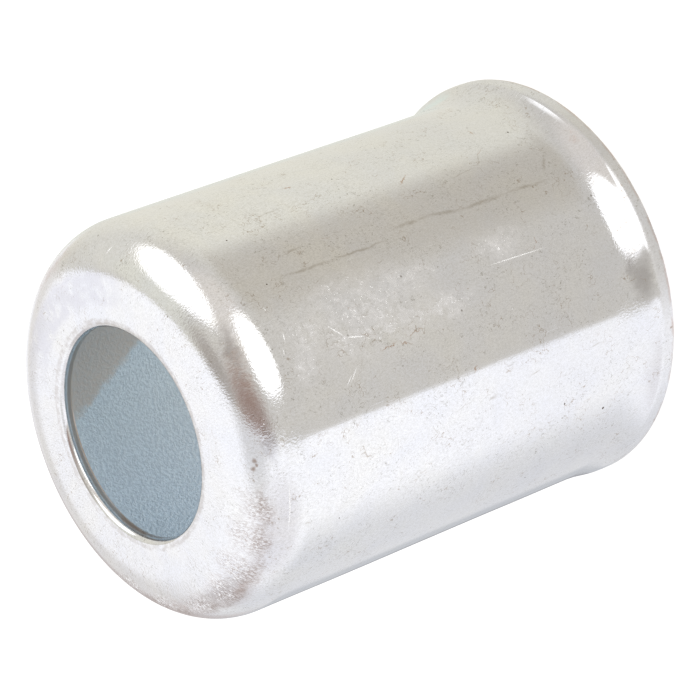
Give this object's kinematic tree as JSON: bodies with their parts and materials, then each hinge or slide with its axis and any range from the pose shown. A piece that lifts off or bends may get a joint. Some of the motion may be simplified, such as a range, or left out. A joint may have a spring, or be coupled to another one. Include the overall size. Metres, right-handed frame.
{
  "type": "crimp hose ferrule",
  "caption": "Drawn steel sleeve with a flared open mouth and a collar with a stem hole, crimped over a hose end to hold it on its fitting.",
  "frame": {"origin": "centre of the flared mouth's widest ring, on the plane of the trimmed rim that the part stands on", "axes": "+Z along the barrel from the open mouth up to the collar with the stem hole, +X the way in which the flare leans off the barrel's axis"},
  "size_m": [0.023, 0.023, 0.0286],
  "materials": {
    "zinc_plate": "bright zinc plate over drawn steel, slightly dulled and finely scratched"
  },
  "bodies": {
    "root": {"ferrule_shell": "zinc_plate"}
  },
  "joints": []
}
